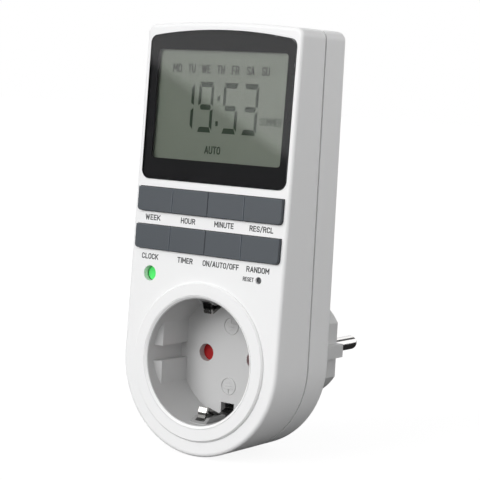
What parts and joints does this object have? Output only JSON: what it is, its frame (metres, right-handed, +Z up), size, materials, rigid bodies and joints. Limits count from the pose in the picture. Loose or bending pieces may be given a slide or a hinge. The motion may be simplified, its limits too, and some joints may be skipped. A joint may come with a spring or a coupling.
{
  "type": "plug-in timer",
  "caption": "Plug-in timer: upright white case with a dark display window, two rows of grey keys, an earthed socket at the front and a round two-pin plug behind.",
  "frame": {"origin": "midway between the two plug pins, on the end face of the plug body", "axes": "+Z up along the case, +Y along the plug pins into the wall, front face towards -Y"},
  "size_m": [0.06, 0.0797, 0.1366],
  "materials": {
    "case_plastic": "smooth with a faint moulded grain",
    "window_plastic": "polished, with a black printed border",
    "display_glass": "grey-green liquid crystal glass",
    "reflector": "matt reflecting film",
    "connector_rubber": "layered contact strip",
    "board": "coated glass-fibre board",
    "key_plastic": "satin slate grey",
    "black_plastic": "moulded",
    "plunger_plastic": "moulded",
    "lamp_plastic": "clear tinted",
    "steel": "zinc or nickel finish",
    "nickel": "nickel-plated brass",
    "contact_brass": "bare",
    "carrier_plastic": "moulded",
    "shutter_plastic": "moulded red",
    "relay_plastic": "moulded",
    "capacitor_plastic": "moulded box",
    "sleeve_plastic": "shrunk sleeve",
    "varistor_coat": "dipped coat",
    "resistor_coat": "dipped coat",
    "brown_insulation": "insulation",
    "blue_insulation": "insulation"
  },
  "bodies": {
    "housing": {"front_cover": "case_plastic", "rear_cover": "case_plastic", "socket_cup": "case_plastic", "display_window": "window_plastic", "lcd_panel": "display_glass", "lcd_backing": "reflector", "lcd_connector": "connector_rubber", "lcd_frame": "black_plastic", "key_switches": "black_plastic", "reset_switch": "black_plastic", "controller_chip": "black_plastic", "display_board": "board", "power_board": "board", "indicator_led": "lamp_plastic", "crystal": "steel", "backup_cell": "steel", "case_screws": "steel", "board_screws": "steel", "power_board_screws": "steel", "shutter_spring": "steel", "earth_yoke": "steel", "live_pin": "nickel", "neutral_pin": "nickel", "earth_strip_upper": "nickel", "earth_strip_lower": "nickel", "live_contact": "contact_brass", "neutral_contact": "contact_brass", "neutral_link": "contact_brass", "contact_carrier": "carrier_plastic", "relay": "relay_plastic", "line_capacitor": "capacitor_plastic", "smoothing_capacitor": "sleeve_plastic", "varistor": "varistor_coat", "fuse_resistor": "resistor_coat", "board_link": "resistor_coat", "live_lead": "brown_insulation", "switched_lead": "brown_insulation", "neutral_lead": "blue_insulation"},
    "upper_key_1": {"key_upper_1": "key_plastic", "plunger_upper_1": "plunger_plastic"},
    "upper_key_2": {"key_upper_2": "key_plastic", "plunger_upper_2": "plunger_plastic"},
    "upper_key_3": {"key_upper_3": "key_plastic", "plunger_upper_3": "plunger_plastic"},
    "upper_key_4": {"key_upper_4": "key_plastic", "plunger_upper_4": "plunger_plastic"},
    "lower_key_1": {"key_lower_1": "key_plastic", "plunger_lower_1": "plunger_plastic"},
    "lower_key_2": {"key_lower_2": "key_plastic", "plunger_lower_2": "plunger_plastic"},
    "lower_key_3": {"key_lower_3": "key_plastic", "plunger_lower_3": "plunger_plastic"},
    "lower_key_4": {"key_lower_4": "key_plastic", "plunger_lower_4": "plunger_plastic"},
    "reset": {"reset_button": "key_plastic", "reset_plunger": "plunger_plastic"},
    "shutter": {"safety_shutter": "shutter_plastic"}
  },
  "joints": [
    {"name": "upper_key_1_press", "type": "slide", "parent": "housing", "child": "upper_key_1", "axis": [0, 0.9989, -0.0461], "range_m": [0, 0.0006], "stiffness_N_per_m": 600, "springref_m": -0.0006},
    {"name": "upper_key_2_press", "type": "slide", "parent": "housing", "child": "upper_key_2", "axis": [0, 0.9989, -0.0461], "range_m": [0, 0.0006], "stiffness_N_per_m": 600, "springref_m": -0.0006},
    {"name": "upper_key_3_press", "type": "slide", "parent": "housing", "child": "upper_key_3", "axis": [0, 0.9989, -0.0461], "range_m": [0, 0.0006], "stiffness_N_per_m": 600, "springref_m": -0.0006},
    {"name": "upper_key_4_press", "type": "slide", "parent": "housing", "child": "upper_key_4", "axis": [0, 0.9989, -0.0461], "range_m": [0, 0.0006], "stiffness_N_per_m": 600, "springref_m": -0.0006},
    {"name": "lower_key_1_press", "type": "slide", "parent": "housing", "child": "lower_key_1", "axis": [0, 0.9989, -0.0461], "range_m": [0, 0.0006], "stiffness_N_per_m": 600, "springref_m": -0.0006},
    {"name": "lower_key_2_press", "type": "slide", "parent": "housing", "child": "lower_key_2", "axis": [0, 0.9989, -0.0461], "range_m": [0, 0.0006], "stiffness_N_per_m": 600, "springref_m": -0.0006},
    {"name": "lower_key_3_press", "type": "slide", "parent": "housing", "child": "lower_key_3", "axis": [0, 0.9989, -0.0461], "range_m": [0, 0.0006], "stiffness_N_per_m": 600, "springref_m": -0.0006},
    {"name": "lower_key_4_press", "type": "slide", "parent": "housing", "child": "lower_key_4", "axis": [0, 0.9989, -0.0461], "range_m": [0, 0.0006], "stiffness_N_per_m": 600, "springref_m": -0.0006},
    {"name": "reset_press", "type": "slide", "parent": "housing", "child": "reset", "axis": [0, 0.9989, -0.0461], "range_m": [0, 0.0006], "stiffness_N_per_m": 400, "springref_m": -0.0006},
    {"name": "shutter_turn", "type": "hinge", "parent": "housing", "child": "shutter", "pos_m": [0, -0.0372, 0], "axis": [0, 1, 0], "range_deg": [0, 42], "stiffness_Nm_per_rad": 0.002, "springref_deg": -17.19}
  ]
}
